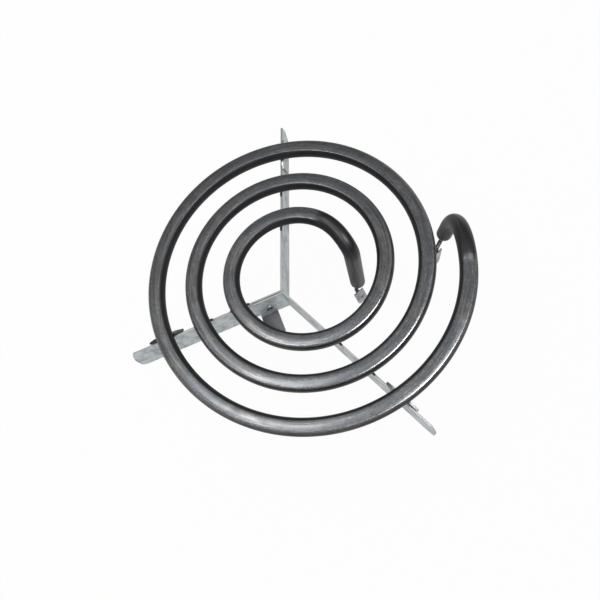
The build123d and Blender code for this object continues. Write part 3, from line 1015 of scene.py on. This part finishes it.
@dataclass(frozen=True)
class SoftBox:
    """A square area lamp that points at the object.

    A card is a lamp that shows only in the metal's reflections.
    """

    name: str
    place: Place
    size: float
    power: float
    card: bool = False

    def build(self, target: Vector) -> None:
        """Adds the lamp.

        Args:
            target: the place that it points at.
        """
        lamp = bpy.data.lights.new(self.name, "AREA")
        lamp.size = self.size
        lamp.energy = self.power
        item = bpy.data.objects.new(self.name, lamp)
        item.location = self.place
        way = target - Vector(self.place)
        item.rotation_euler = way.to_track_quat("-Z", "Y").to_euler()
        item.visible_diffuse = not self.card
        item.visible_glossy = self.card
        bpy.context.scene.collection.objects.link(item)


@dataclass(frozen=True)
class Studio:
    """White floor, pale surroundings, soft lamps and the camera."""

    floor_gap: float = 2.0 * MM
    floor_half: float = 4.0
    floor_grey: float = 0.92
    floor_white: float = 0.96
    world_strength: float = 0.62
    low_in_metal: float = 0.18
    high_in_metal: float = 0.85
    low_rise: float = 0.25
    high_rise: float = 0.85
    aim: Place = (0.0, 0.0, 20.0 * MM)
    eye: Place = (50.06 * MM, -90.57 * MM, 258.64 * MM)
    forward: Place = (-0.15921, 0.32974, -0.93055)
    upward: Place = (0.06556, 0.94402, 0.32330)
    focal_px: float = 558.84
    frame_px: float = 600.0
    sensor: float = 36.0
    clip_start: float = 0.01
    clip_end: float = 20.0
    lamps: tuple[SoftBox, ...] = (
        SoftBox("key_light", (-0.25, 0.10, 1.10), 0.80, 4.5),
        SoftBox("overhead_card", (-0.145, -0.015, 0.600), 0.13, 1.5, card=True),
        SoftBox("side_card", (0.330, -0.150, 0.590), 0.22, 3.4, card=True),
    )

    def build(self) -> None:
        """Builds the surroundings and sets the camera."""
        scene = bpy.context.scene
        scene.view_settings.view_transform = "Standard"
        self._floor()
        self._world(scene)
        for lamp in self.lamps:
            lamp.build(Vector(self.aim))
        self._camera(scene)

    def _floor(self) -> None:
        """A large floor under the lowest point, white where it is seen, pale where it lights."""
        level = cad_box[0][2] - self.floor_gap
        mesh = bpy.data.meshes.new("studio_floor")
        half = self.floor_half
        mesh.from_pydata([(-half, -half, level), (half, -half, level), (half, half, level),
                          (-half, half, level)], [], [(0, 1, 2, 3)])
        floor = bpy.data.objects.new("studio_floor", mesh)
        bpy.context.scene.collection.objects.link(floor)
        board = Board("white_floor")
        path = board.add("ShaderNodeLightPath")
        seen = Wire(board, path.outputs["Is Camera Ray"]).larger(
            Wire(board, path.outputs["Is Glossy Ray"])).larger(
            Wire(board, path.outputs["Is Transmission Ray"]))
        diffuse = board.add("ShaderNodeBsdfDiffuse", inputs={"Color": _rgba((self.floor_grey,) * 3)})
        glow = board.add("ShaderNodeEmission", inputs={"Color": (1.0, 1.0, 1.0, 1.0), "Strength": 1.0})
        both = board.add("ShaderNodeMixShader",
                         inputs={0: seen * self.floor_white, 1: diffuse.outputs[0], 2: glow.outputs[0]})
        out = board.add("ShaderNodeOutputMaterial")
        board.tree.links.new(both.outputs[0], out.inputs["Surface"])
        mesh.materials.append(board.material)

    def _world(self, scene: bpy.types.Scene) -> None:
        """Pale light all round: white to the camera, and pale in the metal's reflections."""
        world = bpy.data.worlds.new("pale_room")
        world.use_nodes = True
        tree = world.node_tree
        tree.nodes.clear()

        def shade(strength: float) -> bpy.types.Node:
            """A white background of a strength."""
            node = tree.nodes.new("ShaderNodeBackground")
            node.inputs["Strength"].default_value = strength
            return node

        def either(question: str, no: bpy.types.Node, yes: bpy.types.Node) -> bpy.types.Node:
            """One of two shaders, by what the light path is."""
            node = tree.nodes.new("ShaderNodeMixShader")
            tree.links.new(path.outputs[question], node.inputs[0])
            tree.links.new(no.outputs[0], node.inputs[1])
            tree.links.new(yes.outputs[0], node.inputs[2])
            return node

        path = tree.nodes.new("ShaderNodeLightPath")
        way = tree.nodes.new("ShaderNodeTexCoord")
        parts = tree.nodes.new("ShaderNodeSeparateXYZ")
        rise = tree.nodes.new("ShaderNodeMapRange")
        rise.interpolation_type = "SMOOTHSTEP"
        for name, value in (("From Min", self.low_rise), ("From Max", self.high_rise),
                            ("To Min", self.low_in_metal), ("To Max", self.high_in_metal)):
            rise.inputs[name].default_value = value
        tree.links.new(way.outputs["Generated"], parts.inputs[0])
        tree.links.new(parts.outputs["Z"], rise.inputs["Value"])
        in_metal = shade(self.high_in_metal)
        tree.links.new(rise.outputs["Result"], in_metal.inputs["Strength"])
        unseen = either("Is Glossy Ray", shade(self.world_strength), in_metal)
        seen = either("Is Camera Ray", unseen, shade(1.0))
        out = tree.nodes.new("ShaderNodeOutputWorld")
        tree.links.new(seen.outputs[0], out.inputs["Surface"])
        scene.world = world

    def _camera(self, scene: bpy.types.Scene) -> None:
        """The camera, from its place, its view direction and its focal length."""
        lens = bpy.data.cameras.new("camera")
        lens.sensor_fit = "HORIZONTAL"
        lens.sensor_width = self.sensor
        lens.lens = self.focal_px / self.frame_px * self.sensor
        lens.clip_start = self.clip_start
        lens.clip_end = self.clip_end
        item = bpy.data.objects.new("camera", lens)
        ahead = Vector(self.forward).normalized()
        right = ahead.cross(Vector(self.upward)).normalized()
        above = right.cross(ahead)
        turn = Matrix((right, above, -ahead)).transposed().to_4x4()
        item.matrix_world = Matrix.Translation(Vector(self.eye)) @ turn
        scene.collection.objects.link(item)
        scene.camera = item


# ------------------------------------------------------------------------- main


class Material(Enum):
    """The finishes that the smaller pieces share."""

    ZINC = ("zinc_plate", ZincPlate())
    CLIP = ("heat_darkened_clip", PlainSteel((0.105, 0.105, 0.110), (0.045, 0.045, 0.045), 0.45))
    PALE_CLIP = ("greyed_clip", PlainSteel((0.34, 0.35, 0.36), (0.12, 0.12, 0.12), 0.42))
    RIVET = ("rivet_steel", RolledRivet())
    PIN = ("pin_steel", PlainSteel((0.10, 0.10, 0.105), (0.045, 0.045, 0.045), 0.42))
    TAB = ("plated_tab", PlainSteel((0.40, 0.40, 0.42), (0.24, 0.24, 0.25), 0.42))
    BUSH = ("bush_ceramic", Baked((0.20, 0.19, 0.18), (0.10, 0.10, 0.10)))
    SEAL = ("seal_resin", Baked((0.35, 0.20, 0.13), (0.25, 0.14, 0.09), 0.5))
    POWDER = ("magnesia_powder", Baked((0.86, 0.85, 0.80), (0.74, 0.72, 0.66), 0.9))
    WIRE = ("resistance_wire", PlainSteel((0.45, 0.44, 0.42), (0.30, 0.29, 0.27), 0.35))

    def make(self) -> bpy.types.Material:
        """Makes the finish's material, or gives the one made before."""
        name, finish = self.value
        return bpy.data.materials.get(name) or finish.material(name)


@dataclass(frozen=True)
class SmallParts:
    """The pieces other than the tube, by solid."""

    eased: tuple[tuple[str, str, Material], ...] = (
        ("long_support_strip", "zinc_strip", Material.ZINC),
        ("short_support_strip", "zinc_strip", Material.ZINC),
    )
    clips: tuple[tuple[str, Material], ...] = (
        ("arm_1_tube_clip", Material.PALE_CLIP),
        ("arm_2_tube_clip", Material.CLIP),
        ("arm_3_tube_clip", Material.PALE_CLIP),
    )
    tabs: tuple[str, ...] = ("inner_tab_terminal", "outer_tab_terminal")
    tab_ease: float = 0.10 * MM
    kept: tuple[tuple[str, Material], ...] = (
        ("support_rivet", Material.RIVET),
        ("inner_terminal_pin", Material.PIN),
        ("outer_terminal_pin", Material.PIN),
        ("inner_end_bush", Material.BUSH),
        ("outer_end_bush", Material.BUSH),
        ("inner_moisture_seal", Material.SEAL),
        ("outer_moisture_seal", Material.SEAL),
        ("magnesia_filling", Material.POWDER),
        ("resistance_coil", Material.WIRE),
    )

    def build(self) -> None:
        """Makes the eased pieces and dresses the solids that stay."""
        pieces = [EasedPiece(node, f"{node}_eased", slot, kind.make()) for node, slot, kind in self.eased]
        pieces += [EasedPiece(node, f"{node}_eased", "dark_clip", kind.make(), squat_above=STRIP_TOP)
                   for node, kind in self.clips]
        pieces += [EasedPiece(node, f"{node}_eased", "tab_metal", Material.TAB.make(), self.tab_ease,
                              dimpled=True) for node in self.tabs]
        for piece in pieces:
            made = piece.build()
            log.info("%s: %d faces", made.name, len(made.data.polygons))
        for node, kind in self.kept:
            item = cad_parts[node]
            material = kind.make()
            for slot in item.material_slots:
                slot.material = material
            log.info("%s dressed", node)


def main() -> None:
    """Builds the part's looks and the studio."""
    tube = HeatingTube(OxidisedTube()).build()
    log.info("%s: %d faces", tube.name, len(tube.data.polygons))
    SmallParts().build()
    Studio().build()


if __name__ == "__main__":
    main()
